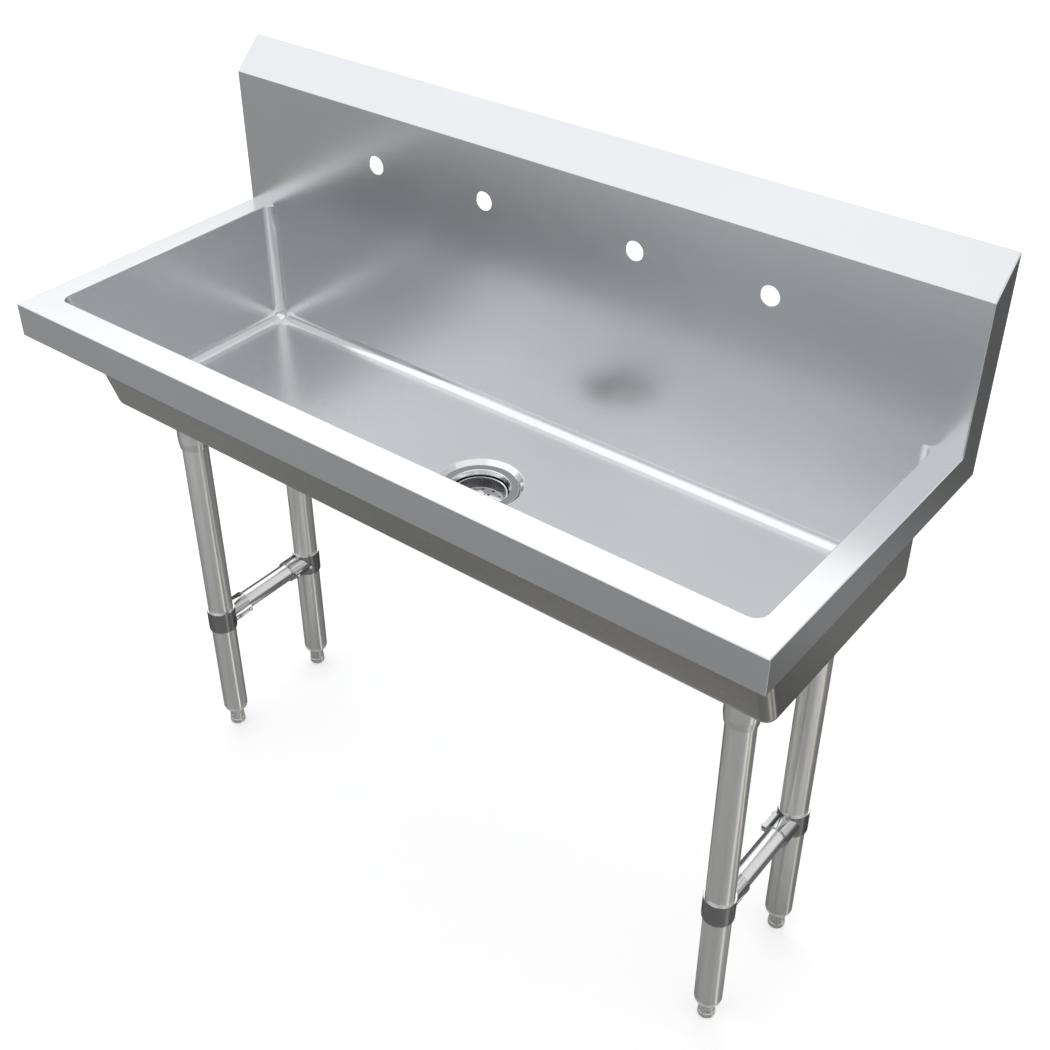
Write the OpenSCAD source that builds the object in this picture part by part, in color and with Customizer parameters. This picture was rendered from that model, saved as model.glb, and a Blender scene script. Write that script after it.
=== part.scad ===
// Trough sink with a backsplash, on four tube legs with cross braces.
// Millimetres. The origin is on the floor, under the middle of the sink.
// X runs along the length, Y from the front edge to the back, and Z is up.

/* [Overall] */
// Length from left edge to right edge
length = 1219.2; // [900:0.1:1600]
// Depth from the front edge to the backsplash face
deck_depth = 454.5; // [420:0.5:560]
// Height of the rim above the floor
rim_height = 882; // [760:1:960]
// Thickness of the sheet metal
sheet_t = 1.6; // [1.2:0.1:2.5]

/* [Rim] */
// Width of the flat rim at each side
side_rim_w = 38.1; // [30:0.1:60]
// Width of the flat rim at the front
front_rim_w = 45.8; // [30:0.1:70]
// Height of the turned-down edge
edge_h = 50.8; // [30:0.2:70]
// Width of the return under the turned-down edge
return_w = 12.7; // [6:0.1:20]
// Radius of the rim opening's front corners
opening_r = 19.5; // [16:0.5:40]

/* [Backsplash] */
// Depth of the backsplash box behind its face
splash_depth = 50; // [35:1:80]
// Height of the upright face above the rim
splash_h = 207.4; // [160:0.2:300]
// Rise of the slanted top
slant_h = 46.6; // [20:0.2:70]
// Width of the flanges along the back of the backsplash box
rear_flange_w = 25.4; // [12:0.1:40]

/* [Faucet holes] */
// Diameter of a faucet hole
faucet_hole_d = 28; // [20:0.5:36]
// Distance between the two holes of a pair
faucet_pitch = 203.2; // [100:0.1:210]
// Distance between the middles of the two pairs
station_pitch = 457.2; // [300:0.1:600]
// Height of the holes above the rim
faucet_rise = 127; // [60:1:180]

/* [Bowl] */
// Depth of the bowl below the rim
bowl_depth = 203.2; // [150:0.2:260]
// Inner radius of the coved corners
cove_r = 15.9; // [10:0.1:25]
// How far the front wall leans back from rim to floor
front_lean = 62.8; // [20:0.2:80]

/* [Legs] */
// Distance from an end of the sink to the axis of the nearest leg
leg_inset = 112.5; // [80:0.5:200]
// Distance from the front edge of the rim to the axis of a front leg
front_leg_inset = 181.05; // [175:0.05:200]
// Distance from the backsplash's face to the axis of a rear leg
rear_leg_inset = 70.05; // [66:0.05:100]
// Outer diameter of a leg tube
leg_d = 41.28; // [30:0.01:45]
// Wall thickness of the leg tubes
leg_wall = 1.5; // [1:0.1:3]
// Height of the lower end of a leg tube above the floor
leg_bottom = 43.5; // [40:0.5:60]

/* [Leg sockets] */
// Length of a socket below its flange
socket_h = 80.5; // [60:0.5:120]
// Outer diameter of a socket
socket_d = 48.6; // [47:0.1:54]
// Length of the socket's tapered lower end
socket_taper_h = 14; // [6:0.5:25]
// Wall left at the socket's lower lip
socket_lip_w = 0.8; // [0.5:0.1:1.2]
// Diameter of the socket's flange
socket_flange_d = 88; // [70:1:100]
// Thickness of the socket's flange
socket_flange_t = 2.5; // [2:0.1:5]
// Diameter of the socket set screws
socket_screw_d = 8; // [5:0.5:10]
// Length of the socket set screws
socket_screw_l = 7; // [5:0.5:12]
// Height of the set screws above the socket's lower end
socket_screw_rise = 44; // [25:0.5:50]

/* [Feet] */
// Diameter of the foot's shaft
foot_shaft_d = 24.4; // [18:0.1:28]
// Diameter of the foot's base
foot_base_d = 26; // [25:0.1:34]
// Diameter of the face that stands on the floor
foot_face_d = 20; // [14:0.1:22]
// Height of the bevel round that face
foot_bevel_h = 3; // [1:0.1:5]
// How far a foot screws in from where it is shown
foot_travel = 25; // [10:0.5:26]
// Diameter of the foot's threaded stem
foot_stem_d = 16; // [10:0.5:18]
// How far the shaft reaches into its insert at rest
foot_shaft_grip = 3; // [1:0.5:6]
// Length of the threaded stem above the shaft
foot_stem_l = 52; // [50:0.5:90]
// Height of the insert's collar below the tube end
insert_collar_h = 6.5; // [3:0.1:10]
// Length of the insert inside the tube
insert_plug_h = 44; // [42:0.5:70]
// Running clearance of the foot in its insert, on the radius
foot_fit = 0.08; // [0.05:0.01:0.1]

/* [Braces and clamps] */
// Height of the cross braces above the floor
brace_z = 243.7; // [150:0.1:400]
// Outer diameter of a brace tube
brace_d = 31.75; // [25:0.01:35]
// Wall thickness of the brace tubes
brace_wall = 1.5; // [1:0.1:3]
// Height of a clamp's ring
clamp_h = 39.4; // [38:0.1:60]
// Wall thickness of a clamp
clamp_wall = 2.7; // [2:0.1:4]
// Distance from the leg's axis to the end of the clamp's sleeve
clamp_reach = 50; // [45:0.5:80]
// Half the width of the clamp's slit next to the ring
slit_root_w = 8; // [4:0.5:10]
// Half the width of the clamp's slit at the sleeve's end
slit_tip_w = 0.8; // [0.4:0.1:2]
// How far the clamp's side bar stands out from the sleeve
bar_out = 5.8; // [4:0.1:8]
// Height of the clamp's side bar
bar_h = 10; // [8:0.5:14]
// Distance from the leg's axis to the near screw
near_screw_y = 14; // [13:0.1:15]
// Distance from the leg's axis to the far screw
far_screw_y = 43.8; // [34:0.1:45]
// Diameter of the clamp set screws
clamp_screw_d = 6; // [4:0.5:7]

/* [Drain] */
// Distance from the backsplash's face to the middle of the drain
drain_inset = 173.95; // [160:0.05:200]
// Radius of the pressed recess at the bowl floor
recess_top_r = 63.5; // [62:0.5:75]
// Radius of the recess at its foot
recess_foot_r = 57; // [57:0.1:60]
// Depth of the recess
recess_h = 7.5; // [5:0.1:12]
// Radius of the hole in the recess
drain_hole_r = 46; // [45:0.1:48]
// Radius of the strainer's flange
flange_r = 56.5; // [52:0.1:56.8]
// Thickness of the strainer's flange
flange_t = 1.7; // [1:0.1:3]
// Inner radius of the strainer's flange
flange_hole_r = 44; // [43.2:0.1:44.4]
// Inner radius of the strainer's cup
cup_r = 42; // [41:0.1:42.5]
// Wall thickness of the strainer's cup
cup_wall = 1.5; // [1:0.1:2]
// Drop of the sloping lip between flange and cup
lip_h = 6.6; // [3:0.1:8]
// Depth from the flange's face to the cup's sloping floor
cup_h = 35; // [34:0.5:60]
// Fall of the cup's sloping floor
cup_fall = 4; // [2:0.5:8]
// Height of the tapered throat below the cup's floor
throat_h = 8; // [5:0.5:10]
// How much wider the throat is at its top than at the outlet
throat_flare = 3.5; // [2:0.1:5]
// Outer radius of the threaded outlet
outlet_r = 24.13; // [24:0.01:26]
// Inner radius of the outlet
outlet_bore_r = 20.5; // [18:0.1:21]
// Length of the threaded outlet
outlet_h = 24; // [15:0.5:40]

/* [Drain fastening] */
// Thickness of the rubber gasket
gasket_t = 3; // [2:0.1:5]
// Thickness of the friction washer
friction_t = 1; // [0.5:0.1:2]
// Outer radius of the gasket and the friction washer
gasket_r = 57; // [52:0.5:60]
// Height of the lock nut
nut_h = 9; // [6:0.5:14]
// Outer radius of the lock nut's ring
nut_r = 53; // [50:0.5:56]
// How far the lock nut's lugs stand out from its ring
nut_lug_out = 7; // [4:0.5:10]

/* [Strainer basket] */
// Radius of the basket's rim
basket_rim_r = 40; // [39:0.1:40.5]
// Inner radius of the basket's mouth
basket_mouth_r = 38; // [37:0.1:38.5]
// Radius of the basket's floor
basket_floor_r = 34.5; // [33:0.1:36]
// Depth of the basket
basket_h = 15; // [13:0.5:16]
// Depth of the basket's rim below the flange's face
basket_drop = 9; // [7.5:0.5:11]
// Thickness of the basket's sheet
basket_t = 1.2; // [0.8:0.1:1.5]
// Diameter of the holes in the basket's floor
basket_hole_d = 4; // [3:0.1:5]
// Number of holes in the outer ring
outer_holes = 12; // [8:1:16]
// Radius of the outer ring of holes
outer_hole_r = 30.8; // [29:0.1:31]
// Number of holes in the inner ring
inner_holes = 8; // [6:1:10]
// Radius of the inner ring of holes
inner_hole_r = 20; // [18:0.1:22]
// Radius of the post through the basket
post_r = 3.5; // [2.5:0.1:4]
// Radius of the post's knob
knob_r = 7; // [6:0.1:9]
// Radius of the post's shoulder under the basket
shoulder_r = 5.6; // [4.5:0.1:7]
// Height of the post's knob
knob_h = 4; // [2:0.1:5]
// Height of the stopper
stopper_h = 12; // [9:0.5:14]
// Space round the stopper's upper part
stopper_play = 1.2; // [0.6:0.1:2]

/* [Hidden] */
$fn = 64;

// Clearance of pieces that are slipped over or into each other, on the radius
slip = 0.2;
// Gap that a moving piece keeps from its seat
seat_gap = 0.3;
// How far the post's knob stays below the basket's rim
knob_drop = 1;
// Width of a set screw's hex socket, and its depth, as shares of the screw's width and length
hex_share = 0.55;
hex_depth_share = 0.4;
// How far a cutting shape runs past the face that it cuts
over = 1;

// Planes of the sheet metal
half_l = length / 2;
front_y = -(deck_depth + splash_depth) / 2;
face_y = front_y + deck_depth;
rear_y = face_y + splash_depth;
edge_z = rim_height - edge_h;
bend_z = rim_height + splash_h;
top_z = bend_z + slant_h;
slant_a = atan2(slant_h, splash_depth);

// Bowl: planes of its inside, and the straight core that the coves are rolled around
open_x = half_l - side_rim_w;
open_y = front_y + front_rim_w;
floor_z = rim_height - bowl_depth;
under_z = floor_z - sheet_t;
lean_a = atan2(front_lean, bowl_depth);
core_x = open_x - cove_r;
core_rear = [face_y - cove_r, floor_z + cove_r];
core_top_z = rim_height + cove_r;
function core_front_y(z) = open_y + (cove_r - (z - rim_height) * sin(lean_a)) / cos(lean_a);
core_front = [core_front_y(core_rear.y), core_rear.y];
core_front_top = [core_front_y(core_top_z), core_top_z];
ball_steps = 32;

// Legs
leg_r = leg_d / 2;
leg_x = half_l - leg_inset;
leg_front_y = front_y + front_leg_inset;
leg_rear_y = face_y - rear_leg_inset;
socket_top_z = under_z - socket_flange_t;
socket_bottom_z = socket_top_z - socket_h;
socket_bore_r = leg_r + slip;
socket_r = socket_d / 2;
LEFT = -1;
RIGHT = 1;
FRONT = -1;
REAR = 1;

// Feet
collar_z = leg_bottom - insert_collar_h;
foot_base_h = collar_z - foot_travel - seat_gap;
foot_shaft_top = collar_z + foot_shaft_grip;
pocket_top_z = foot_shaft_top + foot_travel + seat_gap;

// Braces and clamps
brace_r = brace_d / 2;
sleeve_r = brace_r + slip + clamp_wall;
ring_r = leg_r + slip + clamp_wall;
bar_x = sleeve_r + bar_out;
bar_start_y = near_screw_y - clamp_screw_d / 2 - 1;
bar_end_y = far_screw_y + clamp_screw_d / 2 + 1;
screw_sink = 0.5;

// Drain
drain_y = face_y - drain_inset;
seat_z = floor_z - recess_h;
flange_z = seat_z + flange_t;
cup_floor_z = flange_z - cup_h;
cup_outer_r = cup_r + cup_wall;
throat_r = outlet_bore_r + throat_flare;
throat_z = cup_floor_z - cup_fall;
throat_end_z = throat_z - throat_h;
outlet_end_z = throat_end_z - outlet_h;
recess_slope = norm([recess_top_r - recess_foot_r, recess_h]) / recess_h;
gasket_z = seat_z - sheet_t - gasket_t;
friction_z = gasket_z - friction_t;
nut_z = friction_z - nut_h;

// Basket
basket_z = flange_z - basket_drop;
basket_floor_z = basket_z - basket_h;
stopper_z = throat_end_z + throat_h / 4;
stopper_top_z = stopper_z + stopper_h;
throat_slope = throat_flare / throat_h;
stopper_foot_r = outlet_bore_r + throat_slope * (stopper_z - throat_end_z)
    - seat_gap * norm([1, throat_slope]);
stopper_r = throat_r - stopper_play;
knob_z = basket_z - knob_drop - knob_h;

// Sheet metal

// An outline in the depth and height plane, drawn out along the length.
module along_x(x0, x1) {
    translate([x0, 0, 0]) rotate([90, 0, 90]) linear_extrude(x1 - x0) children();
}

// A ball whose top, bottom and sides are true vertices.
module ball(r) {
    rotate_extrude($fn = ball_steps)
        polygon([for (i = [0:ball_steps / 2]) r * [sin(i * 360 / ball_steps), -cos(i * 360 / ball_steps)]]);
}

// The core drawn out by r on every side, with ball corners.
module bowl_form(r) hull()
    for (side = [LEFT, RIGHT], corner = [core_rear, core_front, core_front_top, [core_rear.x, core_top_z]])
        translate([side * core_x, corner.x, corner.y]) ball(r);

module bowl() color("silver") {
    difference() {
        bowl_form(cove_r + sheet_t);
        bowl_form(cove_r);
        translate([-length, -length, rim_height - sheet_t]) cube([2 * length, 2 * length, length]);
        translate([0, drain_y, under_z - over]) cylinder(h = sheet_t + 2 * over, r = recess_top_r);
    }
    translate([0, drain_y, 0]) rotate_extrude() recess_outline();
}

// Half section of the pressed recess, out to the floor around it.
module recess_outline() {
    shift = sheet_t * (recess_slope - (recess_top_r - recess_foot_r) / recess_h);
    polygon([[recess_top_r, floor_z], [recess_foot_r, seat_z], [drain_hole_r, seat_z],
        [drain_hole_r, seat_z - sheet_t], [recess_foot_r + shift, seat_z - sheet_t],
        [recess_top_r + shift, under_z], [recess_top_r + sheet_t, under_z],
        [recess_top_r + sheet_t, floor_z]]);
}

module rim_opening() {
    rear_x = open_x - cove_r;
    front_x = open_x - opening_r;
    translate([-rear_x, open_y + opening_r]) square([2 * rear_x, face_y - open_y - opening_r + over]);
    translate([-front_x, open_y]) square([2 * front_x, opening_r + over]);
    translate([-open_x, open_y + opening_r])
        square([2 * open_x, face_y - cove_r - open_y - opening_r]);
    for (side = [LEFT, RIGHT]) {
        translate([side * rear_x, face_y - cove_r]) circle(cove_r);
        translate([side * front_x, open_y + opening_r]) circle(opening_r);
    }
}

module deck() color("whitesmoke") {
    translate([0, 0, rim_height - sheet_t]) linear_extrude(sheet_t) difference() {
        translate([-half_l, front_y]) square([length, deck_depth]);
        rim_opening();
    }
    translate([-half_l, front_y, edge_z]) cube([length, sheet_t, edge_h]);
    translate([-half_l, front_y, edge_z]) cube([length, return_w, sheet_t]);
    for (side = [LEFT, RIGHT]) {
        translate([side * (half_l - sheet_t / 2) - sheet_t / 2, front_y, edge_z])
            cube([sheet_t, deck_depth, edge_h]);
        translate([side * (half_l - return_w / 2) - return_w / 2, front_y, edge_z])
            cube([return_w, deck_depth, sheet_t]);
    }
}

// Section of the backsplash: face, slanted top and rear flange.
module splash_outline() {
    drop = sheet_t / cos(slant_a);
    polygon([[face_y, rim_height - sheet_t], [face_y, bend_z], [rear_y, top_z],
        [rear_y, top_z - rear_flange_w], [rear_y - sheet_t, top_z - rear_flange_w],
        [rear_y - sheet_t, top_z - sheet_t * tan(slant_a) - drop],
        [face_y + sheet_t, bend_z + sheet_t * tan(slant_a) - drop],
        [face_y + sheet_t, rim_height - sheet_t]]);
}

module backsplash() color("lightsteelblue") difference() {
    along_x(-half_l + sheet_t, half_l - sheet_t) splash_outline();
    for (station = [-1, 1], hole = [-1, 1])
        translate([station * station_pitch / 2 + hole * faucet_pitch / 2, face_y - over,
            rim_height + faucet_rise])
            rotate([-90, 0, 0]) cylinder(h = sheet_t + 2 * over, d = faucet_hole_d);
}

module splash_end(side) color("dimgray") mirror([side < 0 ? 1 : 0, 0, 0]) {
    along_x(half_l - sheet_t, half_l)
        polygon([[face_y, edge_z], [rear_y, edge_z], [rear_y, top_z], [face_y, bend_z]]);
    translate([half_l - return_w, face_y, edge_z]) cube([return_w, splash_depth, sheet_t]);
    translate([half_l - rear_flange_w, rear_y - sheet_t, edge_z])
        cube([rear_flange_w, sheet_t, top_z - rear_flange_w - seat_gap - edge_z]);
}

// Legs and their sockets

// Puts a piece at one leg, mirrored so that +X faces the other side and +Y the other leg of the pair.
module at_leg(side, place) {
    translate([side * leg_x, place < 0 ? leg_front_y : leg_rear_y, 0])
        mirror([side > 0 ? 1 : 0, 0, 0]) mirror([0, place > 0 ? 1 : 0, 0]) children();
}

module leg_socket() color("silver") difference() {
    union() {
        translate([0, 0, socket_top_z]) cylinder(h = socket_flange_t, d = socket_flange_d);
        translate([0, 0, socket_bottom_z + socket_taper_h])
            cylinder(h = socket_h - socket_taper_h, r = socket_r);
        translate([0, 0, socket_bottom_z])
            cylinder(h = socket_taper_h, r1 = socket_bore_r + socket_lip_w, r2 = socket_r);
    }
    translate([0, 0, socket_bottom_z - over]) cylinder(h = socket_h + over, r = socket_bore_r);
    translate([0, 0, socket_bottom_z + socket_screw_rise]) rotate([0, 90, 0])
        cylinder(h = socket_d, d = socket_screw_d + slip);
}

// A set screw that points along -X, with its head at the origin.
module set_screw(d, l) difference() {
    translate([-l, 0, 0]) rotate([0, 90, 0]) cylinder(h = l, d = d);
    translate([-l * hex_depth_share, 0, 0]) rotate([0, 90, 0]) cylinder(h = l, d = d * hex_share, $fn = 6);
}

module socket_screws() color("gray")
    for (side = [LEFT, RIGHT], place = [FRONT, REAR]) at_leg(side, place)
        translate([leg_r + slip / 2 + socket_screw_l, 0, socket_bottom_z + socket_screw_rise])
            set_screw(socket_screw_d, socket_screw_l);

module leg() color("darkgray") translate([0, 0, leg_bottom]) difference() {
    cylinder(h = socket_top_z - leg_bottom, r = leg_r);
    translate([0, 0, -over]) cylinder(h = socket_top_z - leg_bottom + 2 * over, r = leg_r - leg_wall);
}

// Feet

module foot_insert() color("gainsboro") difference() {
    union() {
        translate([0, 0, collar_z]) cylinder(h = insert_collar_h, r = leg_r);
        translate([0, 0, leg_bottom]) cylinder(h = insert_plug_h, r = leg_r - leg_wall - slip / 2);
    }
    translate([0, 0, collar_z - over])
        cylinder(h = pocket_top_z - collar_z + over, r = foot_shaft_d / 2 + foot_fit);
    translate([0, 0, collar_z]) cylinder(h = insert_plug_h * 2, r = foot_stem_d / 2 + foot_fit);
}

module foot() color("darkgray") {
    cylinder(h = foot_bevel_h, d1 = foot_face_d, d2 = foot_base_d);
    translate([0, 0, foot_bevel_h]) cylinder(h = foot_base_h - foot_bevel_h, d = foot_base_d);
    translate([0, 0, foot_base_h]) cylinder(h = foot_shaft_top - foot_base_h, d = foot_shaft_d);
    translate([0, 0, foot_shaft_top]) cylinder(h = foot_stem_l, d = foot_stem_d);
}

// Braces and clamps

module brace(side) color("whitesmoke") {
    start = leg_front_y + leg_r + seat_gap;
    span = leg_rear_y - leg_r - seat_gap - start;
    translate([side * leg_x, start, brace_z]) rotate([-90, 0, 0]) difference() {
        cylinder(h = span, r = brace_r);
        translate([0, 0, -over]) cylinder(h = span + 2 * over, r = brace_r - brace_wall);
    }
}

// Ring round the leg and sleeve round the brace, slit above and below, with a side bar.
module brace_clamp() color("gray") translate([0, 0, brace_z]) difference() {
    union() {
        translate([0, 0, -clamp_h / 2]) cylinder(h = clamp_h, r = ring_r);
        rotate([-90, 0, 0]) cylinder(h = clamp_reach, r = sleeve_r);
        translate([0, bar_start_y, -bar_h / 2]) cube([bar_x, bar_end_y - bar_start_y, bar_h]);
    }
    translate([0, 0, -clamp_h]) cylinder(h = 2 * clamp_h, r = leg_r + slip);
    rotate([-90, 0, 0]) cylinder(h = clamp_reach + over, r = brace_r + slip);
    for (flip = [0, 1]) mirror([0, 0, flip]) translate([0, 0, sleeve_r / 2]) linear_extrude(sleeve_r)
        polygon([[-slit_root_w, ring_r], [slit_root_w, ring_r],
            [slit_tip_w, clamp_reach + over], [-slit_tip_w, clamp_reach + over]]);
    for (y = [near_screw_y, far_screw_y]) translate([0, y, 0]) rotate([0, 90, 0])
        cylinder(h = 2 * bar_x, d = clamp_screw_d + slip);
}

module clamp_screws() color("lightgray") {
    near_tip = sqrt(pow(leg_r, 2) - pow(near_screw_y - clamp_screw_d / 2, 2)) + slip / 2;
    far_tip = brace_r + slip / 2;
    head_x = bar_x + screw_sink;
    for (side = [LEFT, RIGHT], place = [FRONT, REAR]) at_leg(side, place) {
        translate([head_x, near_screw_y, brace_z]) set_screw(clamp_screw_d, head_x - near_tip);
        translate([head_x, far_screw_y, brace_z]) set_screw(clamp_screw_d, head_x - far_tip);
    }
}

// Drain

module at_drain() {
    translate([0, drain_y, 0]) children();
}

module strainer_body() color("gainsboro") at_drain() rotate_extrude() polygon([
    [flange_r, seat_z], [flange_r, flange_z], [flange_hole_r, flange_z], [cup_r, flange_z - lip_h],
    [cup_r, cup_floor_z], [throat_r, throat_z], [outlet_bore_r, throat_end_z],
    [outlet_bore_r, outlet_end_z], [outlet_r, outlet_end_z], [outlet_r, throat_end_z],
    [throat_r + cup_wall, throat_z - cup_wall], [cup_outer_r, cup_floor_z - cup_wall],
    [cup_outer_r, seat_z - cup_wall], [flange_hole_r + cup_wall, seat_z]]);

// A flat ring that is slipped over the strainer's cup.
module cup_ring(z, h, r) {
    translate([0, 0, z]) difference() {
        cylinder(h = h, r = r);
        translate([0, 0, -over]) cylinder(h = h + 2 * over, r = cup_outer_r + slip);
    }
}

module strainer_gasket() color("black") at_drain() cup_ring(gasket_z, gasket_t, gasket_r);

module friction_washer() color("tan") at_drain() cup_ring(friction_z, friction_t, gasket_r);

module lock_nut() color("gray") at_drain() difference() {
    union() {
        cup_ring(nut_z, nut_h, nut_r);
        for (turn = [0:3]) rotate([0, 0, 90 * turn + 45])
            translate([nut_r - over, -nut_lug_out, nut_z]) cube([nut_lug_out + over, 2 * nut_lug_out, nut_h]);
    }
}

module strainer_basket() color("silver") at_drain() difference() {
    rotate_extrude() polygon([
        [basket_rim_r, basket_z], [basket_mouth_r, basket_z], [basket_floor_r, basket_floor_z],
        [0, basket_floor_z], [0, basket_floor_z - basket_t], [basket_floor_r + basket_t, basket_floor_z - basket_t],
        [basket_mouth_r + basket_t, basket_z - basket_t], [basket_rim_r, basket_z - basket_t]]);
    hole_ring(outer_holes, outer_hole_r, basket_hole_d);
    hole_ring(inner_holes, inner_hole_r, basket_hole_d);
    translate([0, 0, basket_floor_z - basket_t - over]) cylinder(h = basket_t + 2 * over, r = post_r + slip / 2);
}

module hole_ring(count, r, d) {
    for (i = [0:count - 1]) rotate([0, 0, i * 360 / count])
        translate([r, 0, basket_floor_z - basket_t - over]) cylinder(h = basket_t + 2 * over, d = d);
}

module basket_post() color("silver") at_drain() {
    translate([0, 0, stopper_top_z]) cylinder(h = basket_floor_z - basket_t - stopper_top_z, r = shoulder_r);
    translate([0, 0, stopper_top_z]) cylinder(h = knob_z - stopper_top_z, r = post_r);
    translate([0, 0, knob_z]) cylinder(h = knob_h, r = knob_r);
}

module basket_stopper() color("black") at_drain() rotate_extrude() polygon([
    [0, stopper_top_z], [stopper_r, stopper_top_z], [stopper_r, throat_z],
    [stopper_foot_r, stopper_z], [0, stopper_z]]);

bowl();
deck();
backsplash();
splash_end(LEFT);  // splash_end_left
splash_end(RIGHT);  // splash_end_right
at_leg(LEFT, FRONT) leg_socket();  // leg_socket_front_left
at_leg(RIGHT, FRONT) leg_socket();  // leg_socket_front_right
at_leg(LEFT, REAR) leg_socket();  // leg_socket_rear_left
at_leg(RIGHT, REAR) leg_socket();  // leg_socket_rear_right
socket_screws();
at_leg(LEFT, FRONT) leg();  // leg_front_left
at_leg(RIGHT, FRONT) leg();  // leg_front_right
at_leg(LEFT, REAR) leg();  // leg_rear_left
at_leg(RIGHT, REAR) leg();  // leg_rear_right
at_leg(LEFT, FRONT) foot_insert();  // foot_insert_front_left
at_leg(RIGHT, FRONT) foot_insert();  // foot_insert_front_right
at_leg(LEFT, REAR) foot_insert();  // foot_insert_rear_left
at_leg(RIGHT, REAR) foot_insert();  // foot_insert_rear_right
at_leg(LEFT, FRONT) foot();  // foot_front_left
at_leg(RIGHT, FRONT) foot();  // foot_front_right
at_leg(LEFT, REAR) foot();  // foot_rear_left
at_leg(RIGHT, REAR) foot();  // foot_rear_right
brace(LEFT);  // brace_left
brace(RIGHT);  // brace_right
at_leg(LEFT, FRONT) brace_clamp();  // brace_clamp_front_left
at_leg(RIGHT, FRONT) brace_clamp();  // brace_clamp_front_right
at_leg(LEFT, REAR) brace_clamp();  // brace_clamp_rear_left
at_leg(RIGHT, REAR) brace_clamp();  // brace_clamp_rear_right
clamp_screws();
strainer_body();
strainer_gasket();
friction_washer();
lock_nut();
strainer_basket();
basket_post();
basket_stopper();
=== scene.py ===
from math import asin, atan2, cos, pi, radians, sin, tan

import bmesh
import bpy
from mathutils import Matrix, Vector


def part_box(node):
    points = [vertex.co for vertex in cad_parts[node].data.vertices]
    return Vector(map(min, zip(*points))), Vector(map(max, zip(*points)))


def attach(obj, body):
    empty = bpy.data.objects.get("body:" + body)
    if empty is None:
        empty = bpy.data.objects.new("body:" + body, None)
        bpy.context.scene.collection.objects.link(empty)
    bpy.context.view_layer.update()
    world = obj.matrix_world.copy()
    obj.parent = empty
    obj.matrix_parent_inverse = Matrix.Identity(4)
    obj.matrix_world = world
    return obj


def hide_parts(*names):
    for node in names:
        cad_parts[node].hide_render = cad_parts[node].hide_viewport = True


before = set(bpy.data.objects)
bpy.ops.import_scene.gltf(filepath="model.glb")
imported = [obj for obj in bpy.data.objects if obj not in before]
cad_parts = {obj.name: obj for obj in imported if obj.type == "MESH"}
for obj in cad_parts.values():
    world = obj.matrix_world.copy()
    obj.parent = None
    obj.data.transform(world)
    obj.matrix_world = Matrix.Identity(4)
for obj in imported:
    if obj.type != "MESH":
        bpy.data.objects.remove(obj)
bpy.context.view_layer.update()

MM = 0.001
UP = Vector((0, 0, 1))
ACROSS = Vector((1, 0, 0))

# Sizes that the solids share with this script
SHEET = 1.6 * MM
BOWL_DEPTH = 203.2 * MM
COVE_R = 15.9 * MM
SIDE_RIM = 38.1 * MM
FRONT_RIM = 45.8 * MM
FRONT_LEAN = 62.8 * MM
SPLASH_H = 207.4 * MM
RETURN_W = 12.7 * MM
REAR_FLANGE = 25.4 * MM
FAUCET_R = 14 * MM
FAUCET_RISE = 127 * MM
FAUCET_X = (-330.2 * MM, -127 * MM, 127 * MM, 330.2 * MM)
RECESS_TOP_R = 63.5 * MM
RECESS_FOOT_R = 57 * MM
RECESS_H = 7.5 * MM
RECESS_MARGIN = 5 * MM
RECESS_BENDS = (2.5 * MM, 2 * MM)
DRAIN_HOLE_R = 46 * MM

# Radii of the folds, on the side that shows
FOLD_R = 1.65 * MM
SPLASH_FOLD_R = 1.75 * MM

# Faces along folds and coves, and round circles
FOLD_STEPS = 5
COVE_STEPS = 14
RIM_CORNER_STEPS = 4
OUTLINE_STEPS = 4
LIP_STEPS = 8
HOLE_STEPS = 64
RECESS_STEPS = 96
TURNED_STEPS = 72
STRAINER_STEPS = 128
SCREW_STEPS = 32

# A face turned by more than this from every flat of the bowl belongs to a cove
COVE_STARTS = cos(radians(1.5))
# The rim's fold has its full size where a rear cove faces along X by more than this
FOLD_GROWN = sin(radians(50))
SEAM_GAP = 0.3 * MM

# Limits for joining points, rounding corners and shading edges
JOINED = 1e-6
SLIVER = 1e-7
STRAIGHT = radians(89.5)
MOST_OF_EDGE = 0.49
SHARP_EDGE = radians(32)
FLAT_JOIN = radians(0.6)
EASED_EDGE = radians(38)
EASE_STEPS = 3

# Planes of the sheet metal, read from the solids
deck_lo, deck_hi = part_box("deck")
splash_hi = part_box("backsplash")[1]
HALF_L = deck_hi.x
FRONT_Y = deck_lo.y
FACE_Y = deck_hi.y
REAR_Y = splash_hi.y
RIM_Z = deck_hi.z
EDGE_Z = deck_lo.z
TOP_Z = splash_hi.z
BEND_Z = RIM_Z + SPLASH_H
FLOOR_Z = RIM_Z - BOWL_DEPTH
SEAT_Z = FLOOR_Z - RECESS_H
OPEN_Y = FRONT_Y + FRONT_RIM
LEAN = atan2(FRONT_LEAN, BOWL_DEPTH)


def middle(node):
    """Middle of a node's box, seen from above."""
    lo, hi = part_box(node)
    return Vector(((lo.x + hi.x) / 2, (lo.y + hi.y) / 2, 0))


DRAIN = middle("strainer_body")


def spread(a, b, steps):
    """Numbers from a to b, both included."""
    return [a + (b - a) * i / steps for i in range(steps + 1)]


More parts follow.
